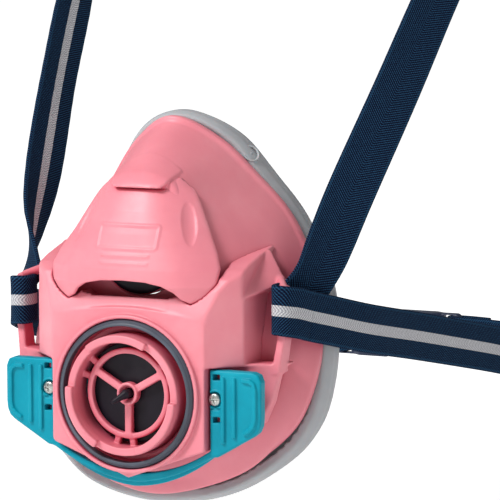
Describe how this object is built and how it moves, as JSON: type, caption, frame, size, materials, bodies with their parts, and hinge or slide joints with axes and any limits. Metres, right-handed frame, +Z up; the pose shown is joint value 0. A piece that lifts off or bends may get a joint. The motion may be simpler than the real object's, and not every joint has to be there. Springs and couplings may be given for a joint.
{
  "type": "half-mask respirator",
  "caption": "Half-mask respirator with a front filter port, hooded exhalation valve, press-to-test lever, soft face seal and an elastic head harness.",
  "frame": {"origin": "where the axis of the filter port meets the plane of the face seal", "axes": "-Y out of the filter port, away from the wearer's face; +Z up towards the crown; +X to the right as seen from in front"},
  "size_m": [0.167, 0.2365, 0.2471],
  "materials": {
    "pink_plastic": "fine satin moulded polypropylene, pink",
    "silicone": "soft satin elastomer, light grey",
    "teal_plastic": "satin moulded plastic, teal",
    "grey_rubber": "satin rubber, blue grey",
    "black_rubber": "satin rubber, black",
    "navy_webbing": "woven elastic webbing, navy with a white stripe",
    "navy_plastic": "satin moulded plastic, navy",
    "zinc_steel": "bright zinc plate",
    "spring_steel": "drawn spring wire"
  },
  "bodies": {
    "mask_body": {"facepiece": "silicone", "shell": "pink_plastic", "port_housing": "pink_plastic", "bayonet_collar": "pink_plastic", "port_gasket": "grey_rubber", "exhalation_seat": "pink_plastic", "crown_cradle": "navy_plastic", "buckle_socket": "navy_plastic", "buckle_plug": "navy_plastic", "lever_screw_right": "zinc_steel", "return_spring_right": "spring_steel", "head_strap_right": "navy_webbing", "strap_loop_right": "navy_webbing", "neck_strap_right": "navy_webbing", "lever_screw_left": "zinc_steel", "return_spring_left": "spring_steel", "head_strap_left": "navy_webbing", "strap_loop_left": "navy_webbing", "neck_strap_left": "navy_webbing"},
    "test_lever_body": {"test_lever": "teal_plastic", "shutter": "teal_plastic"},
    "hood_body": {"valve_hood": "pink_plastic"},
    "inhalation_valve_body": {"inhalation_valve": "black_rubber"},
    "exhalation_valve_body": {"exhalation_valve": "black_rubber"},
    "slider_right_body": {"strap_slider_right": "navy_plastic"},
    "slider_left_body": {"strap_slider_left": "navy_plastic"}
  },
  "joints": [
    {"name": "test_lever_press", "type": "slide", "parent": "mask_body", "child": "test_lever_body", "axis": [0, 1, 0], "range_m": [0, 0.0034], "stiffness_N_per_m": 400, "springref_m": -0.0015, "deforming": ["return_spring_right", "return_spring_left"]},
    {"name": "hood_hinge", "type": "hinge", "parent": "mask_body", "child": "hood_body", "pos_m": [0, -0.0348, 0.0646], "axis": [-1, 0, 0], "range_deg": [0, 12]},
    {"name": "inhalation_valve_lift", "type": "slide", "parent": "mask_body", "child": "inhalation_valve_body", "axis": [0, 1, 0], "range_m": [0, 0.0012], "stiffness_N_per_m": 40, "springref_m": -0.0005},
    {"name": "exhalation_valve_lift", "type": "slide", "parent": "mask_body", "child": "exhalation_valve_body", "axis": [0, -1, 0], "range_m": [0, 0.001], "stiffness_N_per_m": 40, "springref_m": -0.0005},
    {"name": "slider_right_slide", "type": "slide", "parent": "mask_body", "child": "slider_right_body", "axis": [0, 0.9923, -0.124], "range_m": [-0.006, 0.005]},
    {"name": "slider_left_slide", "type": "slide", "parent": "mask_body", "child": "slider_left_body", "axis": [0, 0.9923, -0.124], "range_m": [-0.006, 0.005]}
  ]
}
